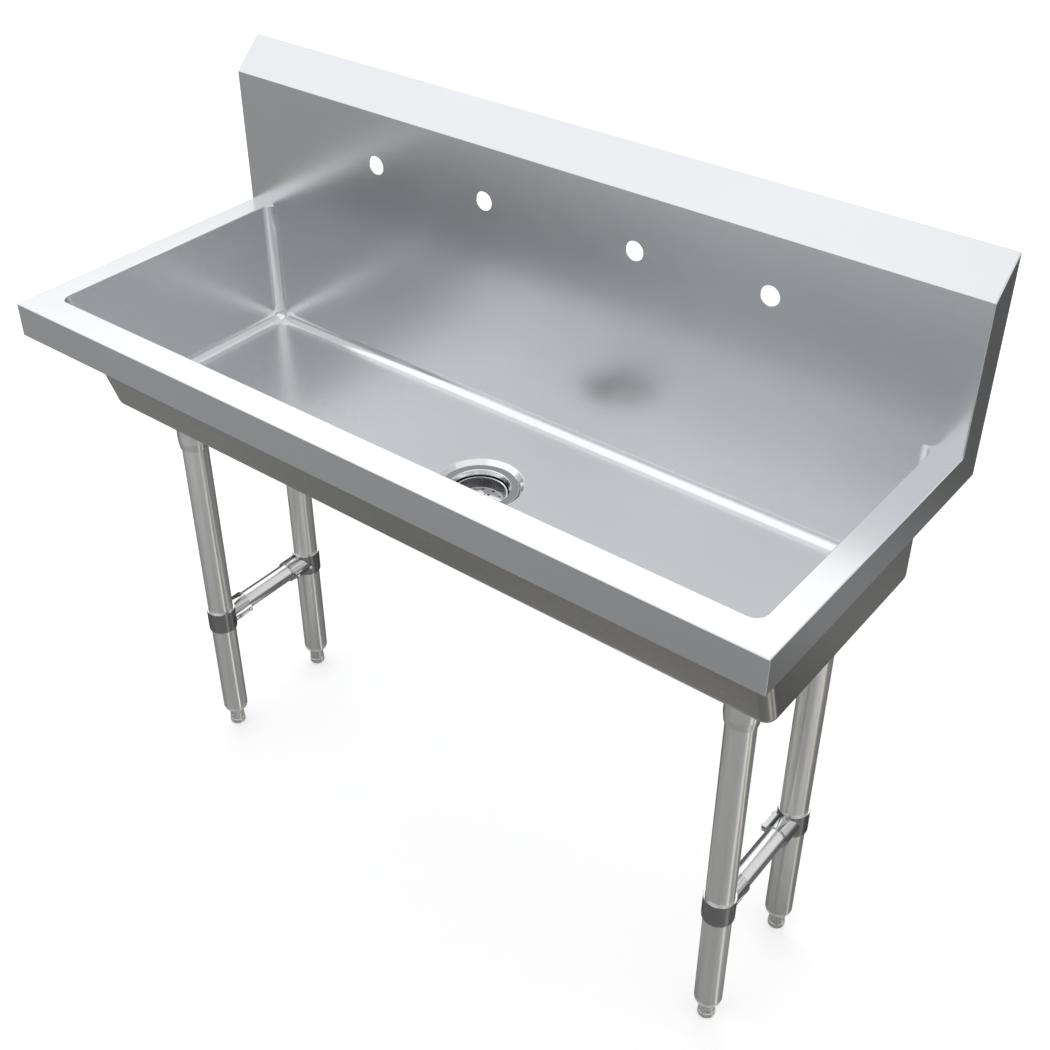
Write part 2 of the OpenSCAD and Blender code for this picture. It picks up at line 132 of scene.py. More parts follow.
def rounded(points, radii, steps=FOLD_STEPS):
    """An open outline in a plane with its inner corners rounded to the given radii."""
    out = [Vector(points[0])]
    for before, corner, after, r in zip(points, points[1:], points[2:], radii):
        before, corner, after = Vector(before), Vector(corner), Vector(after)
        u = (before - corner).normalized()
        v = (after - corner).normalized()
        half = u.angle(v) / 2
        if r <= 0 or half > STRAIGHT:
            out.append(corner)
            continue
        longest = MOST_OF_EDGE * min((before - corner).length, (after - corner).length)
        reach = min(r / tan(half), longest)
        r = reach * tan(half)
        centre = corner + (u + v).normalized() * (r / sin(half))
        start = corner + u * reach - centre
        end = corner + v * reach - centre
        turn = start.angle(end)
        for i in range(steps + 1):
            a, b = sin(turn * (1 - i / steps)), sin(turn * i / steps)
            out.append(centre + (start * a + end * b) / sin(turn))
    out.append(Vector(points[-1]))
    return out


def inset(path, distance):
    """An open outline moved to its right-hand side by a distance, its ends kept on their lines."""
    out = []
    for i, p in enumerate(path):
        before = (p - path[i - 1]).normalized() if i else None
        after = (path[i + 1] - p).normalized() if i + 1 < len(path) else None
        before = before or after
        after = after or before
        n1 = Vector((before.y, -before.x))
        n2 = Vector((after.y, -after.x))
        out.append(p + (n1 + n2) * (distance / (1 + n1.dot(n2))))
    return out


class Skin:
    """The visible side of a sheet or solid, gathered face by face."""

    def __init__(self):
        self.bm = bmesh.new()

    def strip(self, rows, closed=False):
        """Quads between rows of points; a closed row's last point joins its first."""
        grid = [[self.bm.verts.new(p) for p in row] for row in rows]
        for low, high in zip(grid, grid[1:]):
            n = len(low)
            for i in range(n if closed else n - 1):
                j = (i + 1) % n
                self.bm.faces.new((low[i], low[j], high[j], high[i]))

    def flat(self, *loops):
        """One flat face with holes: the first loop is its edge and the others its holes."""
        edges = []
        for loop in loops:
            verts = [self.bm.verts.new(p) for p in loop]
            edges += [self.bm.edges.new((v, verts[(i + 1) % len(verts)])) for i, v in enumerate(verts)]
        bmesh.ops.triangle_fill(self.bm, use_beauty=True, use_dissolve=False, edges=edges)

    def finish(self, name, near=None, facing=None):
        """The object, with doubled points joined; the face nearest to a point shows which way is out."""
        bm = self.bm
        bmesh.ops.remove_doubles(bm, verts=bm.verts, dist=JOINED)
        bmesh.ops.dissolve_degenerate(bm, dist=SLIVER, edges=bm.edges)
        bmesh.ops.recalc_face_normals(bm, faces=bm.faces)
        if near is not None:
            face = min(bm.faces, key=lambda f: (f.calc_center_median() - Vector(near)).length)
            if face.normal.dot(Vector(facing)) < 0:
                bmesh.ops.reverse_faces(bm, faces=bm.faces)
        mesh = bpy.data.meshes.new(name)
        bm.to_mesh(mesh)
        bm.free()
        piece = bpy.data.objects.new(name, mesh)
        bpy.context.scene.collection.objects.link(piece)
        return piece


def applied(piece):
    """Turns a piece's modifiers into its mesh."""
    graph = bpy.context.evaluated_depsgraph_get()
    mesh = bpy.data.meshes.new_from_object(piece.evaluated_get(graph))
    piece.modifiers.clear()
    piece.data = mesh
    return piece


def shaded(piece, material=None):
    """Smooth shading with crisp edges above an angle, flats kept flat, and a material if one is given."""
    bm = bmesh.new()
    bm.from_mesh(piece.data)
    for face in bm.faces:
        face.smooth = True
    for edge in bm.edges:
        edge.smooth = len(edge.link_faces) == 2 and edge.calc_face_angle(0) < SHARP_EDGE
    bm.to_mesh(piece.data)
    bm.free()
    weights = piece.modifiers.new("flat", "WEIGHTED_NORMAL")
    weights.keep_sharp = True
    if material:
        piece.data.materials.clear()
        piece.data.materials.append(material)
    return piece


def thickened(piece, *materials):
    """Gives a skin its sheet thickness on the hidden side, with a second material there if one is given."""
    for material in materials:
        piece.data.materials.append(material)
    solid = piece.modifiers.new("sheet", "SOLIDIFY")
    solid.thickness = SHEET
    solid.offset = -1
    solid.use_even_offset = True
    solid.material_offset = len(materials) - 1
    return shaded(applied(piece))


def dressed(piece, material, chosen):
    """Gives a second material to the faces that a test picks."""
    piece.data.materials.append(material)
    index = len(piece.data.materials) - 1
    for face in piece.data.polygons:
        if chosen(face):
            face.material_index = index


def placed(piece, body, slot, *nodes):
    """Rides on its body and stands for its nodes; its slot is not used."""
    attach(piece, body)
    if nodes:
        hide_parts(*nodes)
    return piece


def circle(centre, r, steps, axis=UP):
    """Points round a circle about an axis."""
    side = axis.orthogonal().normalized()
    other = axis.cross(side)
    return [Vector(centre) + r * (side * cos(2 * pi * i / steps) + other * sin(2 * pi * i / steps))
            for i in range(steps)]


def lathe(name, profile, foot, axis=UP, steps=TURNED_STEPS):
    """A solid turned from a closed outline of (radius, height) round an axis through a point."""
    skin = Skin()
    rows = [circle(Vector(foot) + axis * h, max(r, 0), steps, axis) for r, h in profile]
    skin.strip(rows + rows[:1], closed=True)
    return skin.finish(name)


# Materials

WHITE = (1, 1, 1)
# The values of a noise between which tones and gloss change
NOISE_RANGE = (0.3, 0.7)
CLOUD_SCALE = 2.2
CLOUD_DETAIL = 3
GRAIN_SCALE = 1600
GRAIN_DETAIL = 2
GRAIN_HEIGHT = 0.004 * MM
GRAIN_STRENGTH = 0.12
PIT_DETAIL = 4
PIT_ROUGHNESS = 0.6
PIT_STRENGTH = 0.6
GIRTH_TURN = 0.25
EDGE_TINT = (0.02, 0.02, 0.02, 1)


def nodes_of(material):
    material.use_nodes = True
    tree = material.node_tree
    return tree, tree.nodes["Principled BSDF"]


def noise(tree, scale, detail, stretch=(1, 1, 1), rough=0.5):
    """Noise over the object's own coordinates, drawn out along an axis by a small scale there."""
    place = tree.nodes.new("ShaderNodeTexCoord")
    mapping = tree.nodes.new("ShaderNodeMapping")
    mapping.inputs["Scale"].default_value = stretch
    texture = tree.nodes.new("ShaderNodeTexNoise")
    texture.inputs["Scale"].default_value = scale
    texture.inputs["Detail"].default_value = detail
    texture.inputs["Roughness"].default_value = rough
    tree.links.new(place.outputs["Object"], mapping.inputs["Vector"])
    tree.links.new(mapping.outputs["Vector"], texture.inputs["Vector"])
    return texture.outputs["Fac"]


def mapped(tree, value, source, target=(0, 1)):
    """A value carried from one range to another, and held at its ends."""
    node = tree.nodes.new("ShaderNodeMapRange")
    for socket, number in zip(("From Min", "From Max", "To Min", "To Max"), (*source, *target)):
        node.inputs[socket].default_value = number
    tree.links.new(value, node.inputs["Value"])
    return node.outputs["Result"]


def coloured(tree, value, stops, blend="LINEAR"):
    """Colours for a value from 0 to 1, by stops of (value, colour)."""
    node = tree.nodes.new("ShaderNodeValToRGB")
    node.color_ramp.interpolation = blend
    elements = node.color_ramp.elements
    while len(elements) < len(stops):
        elements.new(0.5)
    for element, (position, colour) in zip(elements, stops):
        element.position = position
        element.color = (*colour, 1)
    tree.links.new(value, node.inputs["Fac"])
    return node.outputs["Color"]


def toned(tree, pattern, dark, light):
    """Colours from dark to light by a noise."""
    return coloured(tree, pattern, list(zip(NOISE_RANGE, (dark, light))))


def bumped(tree, shader, relief, height, strength):
    """Gives a surface a small relief."""
    bump = tree.nodes.new("ShaderNodeBump")
    bump.inputs["Distance"].default_value = height
    bump.inputs["Strength"].default_value = strength
    tree.links.new(relief, bump.inputs["Height"])
    tree.links.new(bump.outputs["Normal"], shader.inputs["Normal"])


def steel(name, dark, light, rough, grain, streaks=None):
    """Brushed metal: fine grain along an axis, slow changes of tone, and gloss that follows the grain."""
    material = bpy.data.materials.new(name)
    tree, shader = nodes_of(material)
    shader.inputs["Metallic"].default_value = 1
    tone = toned(tree, noise(tree, CLOUD_SCALE, CLOUD_DETAIL), dark, light)
    if streaks:
        scale, depth = streaks
        streak = noise(tree, scale, GRAIN_DETAIL, stretch=grain)
        shade = mapped(tree, streak, NOISE_RANGE, (1 - depth, 1))
        dimmed = tree.nodes.new("ShaderNodeVectorMath")
        dimmed.operation = "SCALE"
        tree.links.new(tone, dimmed.inputs["Vector"])
        tree.links.new(shade, dimmed.inputs["Scale"])
        tone = dimmed.outputs["Vector"]
    tree.links.new(tone, shader.inputs["Base Color"])
    lines = noise(tree, GRAIN_SCALE, GRAIN_DETAIL, stretch=grain)
    tree.links.new(mapped(tree, lines, NOISE_RANGE, rough), shader.inputs["Roughness"])
    bumped(tree, shader, lines, GRAIN_HEIGHT, GRAIN_STRENGTH)
    return material


def polished_round(material, pull):
    """Polished round its girth: reflections are drawn out along Z, and the outline goes darker."""
    tree, shader = nodes_of(material)
    tangent = tree.nodes.new("ShaderNodeTangent")
    tangent.direction_type = "RADIAL"
    tangent.axis = "Z"
    tree.links.new(tangent.outputs["Tangent"], shader.inputs["Tangent"])
    shader.inputs["Anisotropic"].default_value = pull
    shader.inputs["Anisotropic Rotation"].default_value = GIRTH_TURN
    shader.inputs["Specular Tint"].default_value = EDGE_TINT


def dull(name, dark, light, rough, metallic, grain_scale, height):
    """Cast metal, rubber or fibre: mottled tone, pitted surface and little gloss."""
    material = bpy.data.materials.new(name)
    tree, shader = nodes_of(material)
    shader.inputs["Metallic"].default_value = metallic
    pits = noise(tree, grain_scale, PIT_DETAIL, rough=PIT_ROUGHNESS)
    tree.links.new(toned(tree, pits, dark, light), shader.inputs["Base Color"])
    tree.links.new(mapped(tree, pits, NOISE_RANGE, rough), shader.inputs["Roughness"])
    bumped(tree, shader, pits, height, PIT_STRENGTH)
    return material


# How the grain is drawn out, by the noise's scale along each axis
ALONG_X = (0.012, 1, 1)
ALONG_Y = (1, 0.012, 1)
ALONG_Z = (1, 1, 0.012)
ROUND_Z = (0.03, 0.03, 1)

SHEET_METAL = steel("sheet_steel", (0.66, 0.67, 0.685), (0.70, 0.71, 0.725), (0.22, 0.27), ALONG_X)
END_METAL = steel("end_steel", (0.66, 0.67, 0.685), (0.70, 0.71, 0.725), (0.22, 0.27), ALONG_Y)
# Coves: a smoother finish than the sheet, and a lighter tone that paints brighter highlights
COVE_FINISH_AND_HIGHLIGHT_METAL = steel("cove_steel_finish_and_painted_highlight", (0.76, 0.77, 0.785), (0.81, 0.82, 0.835), (0.11, 0.15), ALONG_X)
# Outer side of the bowl: unpolished mill finish, with a darker warm tone that paints the shade under the
# rim
MILL_AND_SHADE_METAL = steel("mill_steel_and_painted_shade", (0.42, 0.415, 0.39), (0.48, 0.475, 0.45), (0.20, 0.28), ALONG_X)
TUBE_METAL = steel("tube_steel", (0.84, 0.84, 0.825), (0.91, 0.91, 0.895), (0.29, 0.34), ALONG_Z,
                   streaks=(110, 0.14))
polished_round(TUBE_METAL, 0.95)
BRACE_METAL = steel("brace_steel", (0.66, 0.66, 0.665), (0.72, 0.72, 0.725), (0.20, 0.26), ALONG_Y)
SOCKET_METAL = steel("socket_steel", (0.80, 0.80, 0.79), (0.86, 0.86, 0.85), (0.27, 0.32), ROUND_Z)
polished_round(SOCKET_METAL, 0.9)
BAND_METAL = steel("clamp_band_steel", (0.26, 0.26, 0.265), (0.34, 0.34, 0.345), (0.30, 0.36), ROUND_Z)
polished_round(BAND_METAL, 0.9)
CLAMP_METAL = steel("clamp_steel", (0.72, 0.72, 0.73), (0.80, 0.80, 0.81), (0.07, 0.12), ALONG_Y,
                    streaks=(190, 0.7))
# Brighter steel on the clamp band's lips that face up or down: a painted highlight
LIP_HIGHLIGHT_METAL = steel("clamp_lip_painted_highlight", (0.84, 0.84, 0.85), (0.90, 0.90, 0.91), (0.10, 0.14), ROUND_Z)
DRAIN_METAL = steel("drain_steel", (0.30, 0.31, 0.32), (0.35, 0.36, 0.37), (0.10, 0.14), ROUND_Z)
# Darker steel for the drain's inner walls and the basket: a painted shade
DRAIN_SHADE_METAL = steel("drain_painted_shade_steel", (0.24, 0.24, 0.25), (0.34, 0.34, 0.35), (0.12, 0.18), ALONG_Z)
# Bright steel: the basket post's polish, and a painted highlight on the drain's slopes and the basket's
# upward faces
POLISHED_AND_HIGHLIGHT_METAL = steel("polished_steel_and_painted_highlight", (0.88, 0.88, 0.89), (0.93, 0.93, 0.94), (0.12, 0.18), ROUND_Z)
SCREW_METAL = steel("screw_steel", (0.80, 0.80, 0.81), (0.88, 0.88, 0.89), (0.08, 0.14), ALONG_X)
INSERT_METAL = steel("insert_metal", (0.82, 0.82, 0.81), (0.88, 0.88, 0.87), (0.25, 0.30), ROUND_Z)
polished_round(INSERT_METAL, 0.9)
FOOT_METAL = dull("foot_metal", (0.28, 0.28, 0.27), (0.98, 0.98, 0.96), (0.28, 0.48), 0.7, 400, 0.12 * MM)
NUT_METAL = dull("nut_metal", (0.30, 0.30, 0.30), (0.40, 0.40, 0.40), (0.4, 0.55), 0.9, 700, 0.05 * MM)
RUBBER = dull("rubber", (0.012, 0.012, 0.012), (0.03, 0.03, 0.03), (0.55, 0.75), 0.0, 500, 0.04 * MM)
FIBRE = dull("fibre", (0.30, 0.20, 0.11), (0.45, 0.32, 0.19), (0.8, 0.95), 0.0, 600, 0.06 * MM)


# Bowl: a straight core with its coves rolled around it

CORE_X = HALF_L - SIDE_RIM - COVE_R
REAR_CORE = Vector((0, FACE_Y - COVE_R, FLOOR_Z + COVE_R))
FRONT_CORE = Vector((0, OPEN_Y + (COVE_R + (BOWL_DEPTH - COVE_R) * sin(LEAN)) / cos(LEAN),
                     FLOOR_Z + COVE_R))
REAR_OUT = Vector((0, 1, 0))
FRONT_OUT = Vector((0, -cos(LEAN), -sin(LEAN)))
DOWN = -UP
QUARTER = spread(0, pi / 2, COVE_STEPS)


def between(a, b, turn):
    """The direction that lies turn (0 to 1) of the way from one direction to another."""
    whole = a.angle(b)
    return (a * sin(whole * (1 - turn)) + b * sin(whole * turn)) / sin(whole)


def core(side, wall):
    """Corner of the core at one side, at the rear or front wall."""
    corner = REAR_CORE if wall is REAR_OUT else FRONT_CORE
    return Vector((side * CORE_X, corner.y, corner.z))


def mouth(side, wall, out):
    """Where the wall that faces a direction would meet the rim's plane."""
    start = core(side, wall)
    lean = 0 if wall is REAR_OUT else LEAN
    climb = (RIM_Z - start.z - COVE_R * out.z) / cos(lean)
    return start + Vector((0, -sin(lean), cos(lean))) * climb + out * COVE_R


def corner_outs(side, wall):
    """Directions round an upright cove, from its front or rear wall to its side wall."""
    return [wall * cos(a) + ACROSS * side * sin(a) for a in QUARTER]


def fold_taper(wall, out):
    """The rim's fold dies out where the rear coves run into the backsplash."""
    if wall is not REAR_OUT:
        return 1
    grown = min(1, abs(out.x) / FOLD_GROWN)
    return grown * grown * (3 - 2 * grown)


def rim_fold(side, wall, out):
    """Points over the fold from the flat rim down to the bowl wall."""
    r = FOLD_R * fold_taper(wall, out)
    p = mouth(side, wall, out)
    inward = -out
    lean = asin(inward.z)
    level = Vector((inward.x, inward.y, 0)).normalized()
    centre = p - level * r * (1 - sin(lean)) / cos(lean) - UP * r
    return [centre + r * (level * sin(a) + UP * cos(a)) for a in spread(0, pi / 2 - lean, FOLD_STEPS)]


def opening_folds():
    """The fold's points round the opening, from the rear left corner to the rear right one."""
    around = []
    for side, wall in ((-1, REAR_OUT), (-1, FRONT_OUT), (1, FRONT_OUT), (1, REAR_OUT)):
        outs = corner_outs(side, wall)
        if (side, wall is REAR_OUT) in ((-1, False), (1, True)):
            outs = outs[::-1]
        around += [rim_fold(side, wall, out) for out in outs]
    return around


def build_bowl():
    skin = Skin()
    for side in (-1, 1):
        along = ACROSS * side
        for wall in (REAR_OUT, FRONT_OUT):
            foot = core(side, wall)
            outs = corner_outs(side, wall)
            below_fold = [rim_fold(side, wall, out)[-1] for out in outs]
            skin.strip([below_fold, [foot + out * COVE_R for out in outs]])
            downs = [between(wall, DOWN, t) for t in spread(0, 1, COVE_STEPS)]
            skin.strip([[foot + (down * cos(a) + along * sin(a)) * COVE_R for a in QUARTER]
                        for down in downs])
        skin.strip([[core(side, wall) + (DOWN * cos(a) + along * sin(a)) * COVE_R for a in QUARTER]
                    for wall in (REAR_OUT, FRONT_OUT)])
        skin.strip([[rim_fold(side, wall, along)[-1], core(side, wall) + along * COVE_R]
                    for wall in (REAR_OUT, FRONT_OUT)])
    for wall in (REAR_OUT, FRONT_OUT):
        skin.strip([[core(side, wall) + between(wall, DOWN, t) * COVE_R for t in spread(0, 1, COVE_STEPS)]
                    for side in (-1, 1)])
        skin.strip([[rim_fold(side, wall, wall)[-1], core(side, wall) + wall * COVE_R] for side in (-1, 1)])
    corners = [core(side, wall) + DOWN * COVE_R
               for side, wall in ((-1, REAR_OUT), (1, REAR_OUT), (1, FRONT_OUT), (-1, FRONT_OUT))]
    recess = rounded([(RECESS_TOP_R + RECESS_MARGIN, FLOOR_Z), (RECESS_TOP_R, FLOOR_Z),
                      (RECESS_FOOT_R, SEAT_Z), (DRAIN_HOLE_R, SEAT_Z)], RECESS_BENDS)
    rings = [circle((DRAIN.x, DRAIN.y, z), r, RECESS_STEPS) for r, z in recess]
    skin.flat(corners, rings[0])
    skin.strip(rings, closed=True)
    piece = skin.finish("bowl_shell", near=(0, 0, FLOOR_Z), facing=UP)
    # The bowl's hidden side takes the mill steel, darkened as painted shade
    thickened(piece, SHEET_METAL, MILL_AND_SHADE_METAL)
    flats = (UP, -REAR_OUT, -FRONT_OUT, ACROSS, -ACROSS)
    # Cove faces get the lighter, smoother steel: partly their finish, partly a painted highlight
    dressed(piece, COVE_FINISH_AND_HIGHLIGHT_METAL, lambda face: face.material_index == 0
            and all(face.normal.dot(flat) < COVE_STARTS for flat in flats))
    placed(piece, "sink", "sheet", "bowl")


# Deck: flat rim, its folds and the turned-down edges

def outer_edge():
    """(fold centre, outward direction, mitred inner point) round the rim, from rear left to rear right."""
    r, back = FOLD_R, RETURN_W
    stations = []
    for side in (-1, 1):
        rear = (Vector((side * (HALF_L - r), FACE_Y, 0)), ACROSS * side,
                Vector((side * (HALF_L - back), FACE_Y, 0)))
        corner = Vector((side * (HALF_L - r), FRONT_Y + r, 0))
        mitre = Vector((side * (HALF_L - back), FRONT_Y + back, 0))
        arc = [(corner, ACROSS * side * cos(a) - REAR_OUT * sin(a), mitre)
               for a in spread(0, pi / 2, RIM_CORNER_STEPS)]
        half = [rear] + arc
        stations += half if side < 0 else half[::-1]
    return stations


def build_deck():
    skin = Skin()
    folds = opening_folds()
    skin.strip([[fold[i] for fold in folds] for i in range(FOLD_STEPS + 1)])
    stations = outer_edge()
    last = len(stations) - 1

    def row(height, angle, shift):
        points = []
        for i, (centre, out, _) in enumerate(stations):
            p = centre + out * FOLD_R * sin(angle) + UP * (height + FOLD_R * cos(angle))
            if i in (0, last):
                p.y += shift
            points.append(p)
        return points

    top = RIM_Z - FOLD_R
    bottom = EDGE_Z + FOLD_R
    rows = [row(top, a, FOLD_R * (1 - cos(a))) for a in spread(0, pi / 2, FOLD_STEPS)]
    rows += [row(bottom, a, FOLD_R) for a in spread(pi / 2, pi, FOLD_STEPS)]
    lip = [mitre + UP * EDGE_Z for _, _, mitre in stations]
    lip[0].y += FOLD_R
    lip[-1].y += FOLD_R
    skin.strip(rows + [lip])
    plate = [rows[0][0], rows[0][1], rows[0][-2], rows[0][-1]]
    skin.flat(plate + [fold[0] for fold in reversed(folds)])
    piece = skin.finish("deck_shell", near=(0, FRONT_Y + FRONT_RIM / 2, RIM_Z), facing=UP)
    placed(thickened(piece, SHEET_METAL), "sink", "sheet", "deck")


# Backsplash and its ends

SPLASH_LINE = rounded([(FACE_Y, RIM_Z), (FACE_Y, BEND_Z), (REAR_Y, TOP_Z), (REAR_Y, TOP_Z - REAR_FLANGE)],
                      (SPLASH_FOLD_R, SPLASH_FOLD_R), FOLD_STEPS)


def build_backsplash():
    skin = Skin()
    end_x = HALF_L - FOLD_R
    face_top = SPLASH_LINE[1].y
    skin.strip([[(x, p.x, p.y) for p in SPLASH_LINE[1:]] for x in (-end_x, end_x)])
    edge = [(-end_x, FACE_Y, RIM_Z), (end_x, FACE_Y, RIM_Z), (end_x, FACE_Y, face_top),
            (-end_x, FACE_Y, face_top)]
    holes = [circle((x, FACE_Y, RIM_Z + FAUCET_RISE), FAUCET_R, HOLE_STEPS, REAR_OUT)
             for x in FAUCET_X]
    skin.flat(edge, *holes)
    piece = skin.finish("backsplash_shell", near=(0, FACE_Y, RIM_Z + SPLASH_H / 2), facing=-REAR_OUT)
    placed(thickened(piece, SHEET_METAL), "sink", "sheet", "backsplash")


def build_splash_end(side, name):
    """A flat end plate, folded round its edges, with a flange at the back and a return below."""
    skin = Skin()
    path = SPLASH_LINE[:-1] + [Vector((REAR_Y, EDGE_Z)), Vector((FACE_Y + FOLD_R, EDGE_Z))]

    def row(angle):
        away = FOLD_R * (1 - cos(angle))
        x = side * (HALF_L - FOLD_R + FOLD_R * sin(angle))
        points = inset(path, away)
        points[0] = Vector((FACE_Y + away, RIM_Z - away))
        points[-1] = Vector((FACE_Y + FOLD_R, EDGE_Z + away))
        return [Vector((x, p.x, p.y)) for p in points]

    rows = [row(a) for a in spread(0, pi / 2, FOLD_STEPS)]
    skin.strip(rows)
    skin.flat(rows[-1] + [Vector((side * HALF_L, FACE_Y + FOLD_R, RIM_Z - FOLD_R))])
    rear_low = rows[0][-2]
    rear_top = Vector((rear_low.x, REAR_Y, TOP_Z - REAR_FLANGE - SEAM_GAP))
    into = -ACROSS * side * (REAR_FLANGE - FOLD_R)
    skin.flat([rear_low, rear_top, rear_top + into, rear_low + into])
    low_front = rows[0][-1]
    into = -ACROSS * side * (RETURN_W - FOLD_R)
    skin.flat([low_front, rear_low, rear_low + into, low_front + into])
    middle_of_plate = (side * HALF_L, (FACE_Y + REAR_Y) / 2, RIM_Z)
    piece = skin.finish(f"{name}_shell", near=middle_of_plate, facing=ACROSS * side)
    placed(thickened(piece, END_METAL), "sink", "sheet", name)


# Turned pieces

CORNERS = ("front_left", "front_right", "rear_left", "rear_right")
LEG_R = 20.64 * MM
LEG_WALL = 1.5 * MM
RING_R = 23.54 * MM
COVER = 0.04 * MM
LIP_HIGHLIGHT_SLOPE = 0.36
OUTLET_R = 24.13 * MM


def closed_outline(corners, steps=OUTLINE_STEPS):
    """A closed outline through corners of (radius, height, rounding)."""
    points = [corner[:2] for corner in corners]
    looped = [points[-1], *points, points[0]]
    return rounded(looped, [corner[2] for corner in corners], steps)[1:-1]


def turned(node, body, slot, material, corners, foot, axis=UP):
    """A piece turned from an outline's corners that stands for its node."""
    piece = lathe(f"{node}_turned", closed_outline(corners), foot, axis)
    placed(shaded(piece, material), body, slot, node)


def build_leg(corner):
    node = f"leg_{corner}"
    lo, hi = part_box(node)
    inner = LEG_R - LEG_WALL
    corners = [
        (inner, lo.z, 0.3 * MM),
        (LEG_R, lo.z, 0.9 * MM),
        (LEG_R, hi.z, 0.5 * MM),
        (inner, hi.z, 0.3 * MM),
    ]
    turned(node, "sink", "tube", TUBE_METAL, corners, middle(node))


def build_socket(corner):
    node = f"leg_socket_{corner}"
    lo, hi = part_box(node)
    bore = LEG_R + 0.2 * MM
    lip = bore + 2 * MM
    outer = 24.3 * MM
    flange = 44 * MM
    plate = hi.z - 2.5 * MM
    corners = [
        (bore, lo.z, 0.2 * MM),
        (lip, lo.z, 1.5 * MM),
        (lip, lo.z + 2.2 * MM, 3 * MM),
        (outer, lo.z + 13 * MM, 9 * MM),
        (outer, plate, 3 * MM),
        (flange, plate, 0.6 * MM),
        (flange, hi.z, 0.3 * MM),
        (bore, hi.z, 0),
    ]
    turned(node, "sink", "socket", SOCKET_METAL, corners, middle(node))


def build_insert(corner):
    node = f"foot_insert_{corner}"
    lo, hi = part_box(node)
    bore = 12.28 * MM
    lip = LEG_R - 1.3 * MM
    waist = LEG_R - 2.8 * MM
    plug = LEG_R - LEG_WALL - 0.1 * MM
    collar = lo.z + 6.5 * MM
    corners = [
        (bore, lo.z, 0.4 * MM),
        (lip, lo.z, 0.6 * MM),
        (lip, lo.z + 1.3 * MM, 0.3 * MM),
        (waist, lo.z + 1.6 * MM, 0.3 * MM),
        (LEG_R, lo.z + 4.6 * MM, 1.6 * MM),
        (LEG_R, collar, 0.5 * MM),
        (plug, collar, 0),
        (plug, hi.z, 0.5 * MM),
        (bore, hi.z, 0),
    ]
    turned(node, "sink", "insert", INSERT_METAL, corners, middle(node))


def build_foot(corner):
    node = f"foot_{corner}"
    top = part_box(node)[1].z
    tip, base, shaft, stem = 10 * MM, 13 * MM, 12.2 * MM, 8 * MM
    shaft_top = 40 * MM
    corners = [
        (0, 0, 0),
        (tip, 0, 1 * MM),
        (base, 3 * MM, 1 * MM),
        (base, 10.8 * MM, 1 * MM),
        (shaft, 11.6 * MM, 0.2 * MM),
        (shaft, shaft_top, 1 * MM),
        (stem, shaft_top, 0),
        (stem, top, 1 * MM),
        (0, top, 0),
    ]
    turned(node, node, "foot", FOOT_METAL, corners, middle(node))


def build_brace(side):
    node = f"brace_{side}"
    lo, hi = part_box(node)
    outer = (hi.x - lo.x) / 2
    inner = outer - LEG_WALL
    span = hi.y - lo.y
    foot = Vector(((lo.x + hi.x) / 2, lo.y, (lo.z + hi.z) / 2))
    corners = [(inner, 0, 0), (outer, 0, 0.4 * MM), (outer, span, 0.4 * MM), (inner, span, 0)]
    turned(node, "sink", "tube", BRACE_METAL, corners, foot, REAR_OUT)


# Pieces that keep the solid's own shape, with their edges eased

def softened(node, body, slot, material, width):
    """A copy of a node with its flats joined and its sharp edges rounded."""
    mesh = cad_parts[node].data.copy()
    piece = bpy.data.objects.new(f"{node}_eased", mesh)
    bpy.context.scene.collection.objects.link(piece)
    bm = bmesh.new()
    bm.from_mesh(mesh)
    bmesh.ops.remove_doubles(bm, verts=bm.verts, dist=JOINED)
    bmesh.ops.dissolve_limit(bm, angle_limit=FLAT_JOIN, verts=bm.verts, edges=bm.edges)
    bm.to_mesh(mesh)
    bm.free()
    if mesh.attributes.get("custom_normal"):
        mesh.attributes.remove(mesh.attributes["custom_normal"])
    bevel = piece.modifiers.new("ease", "BEVEL")
    bevel.width = width
    bevel.segments = EASE_STEPS
    bevel.limit_method = "ANGLE"
    bevel.angle_limit = EASED_EDGE
    bevel.use_clamp_overlap = True
    shaded(applied(piece), material)
    return placed(piece, body, slot, node)


def build_clamp(corner):
    """The clamp's sleeve and side bar, and a darker band over its ring, with bright lips where its faces
    look up or down: a painted highlight.
    """
    node = f"brace_clamp_{corner}"
    lo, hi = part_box(node)
    softened(node, "sink", "clamp", CLAMP_METAL, 0.6 * MM)
    bore = LEG_R + 0.3 * MM
    outer = RING_R + COVER
    corners = [
        (bore, lo.z - COVER, 0.3 * MM),
        (outer, lo.z - COVER, 0.9 * MM),
        (outer, hi.z + COVER, 2.2 * MM),
        (bore, hi.z + COVER, 0.4 * MM),
    ]
    band = lathe(f"clamp_band_{corner}", closed_outline(corners, LIP_STEPS), middle(f"leg_{corner}"))
    shaded(band, BAND_METAL)
    # The band's faces that look up or down get the brighter steel, a painted highlight
    dressed(band, LIP_HIGHLIGHT_METAL, lambda face: abs(face.normal.z) > LIP_HIGHLIGHT_SLOPE)
    placed(band, "sink", "clamp")


# Where the two screws of a clamp sit, measured from the leg's axis
SCREW_REACH = (14 * MM, 43.8 * MM)


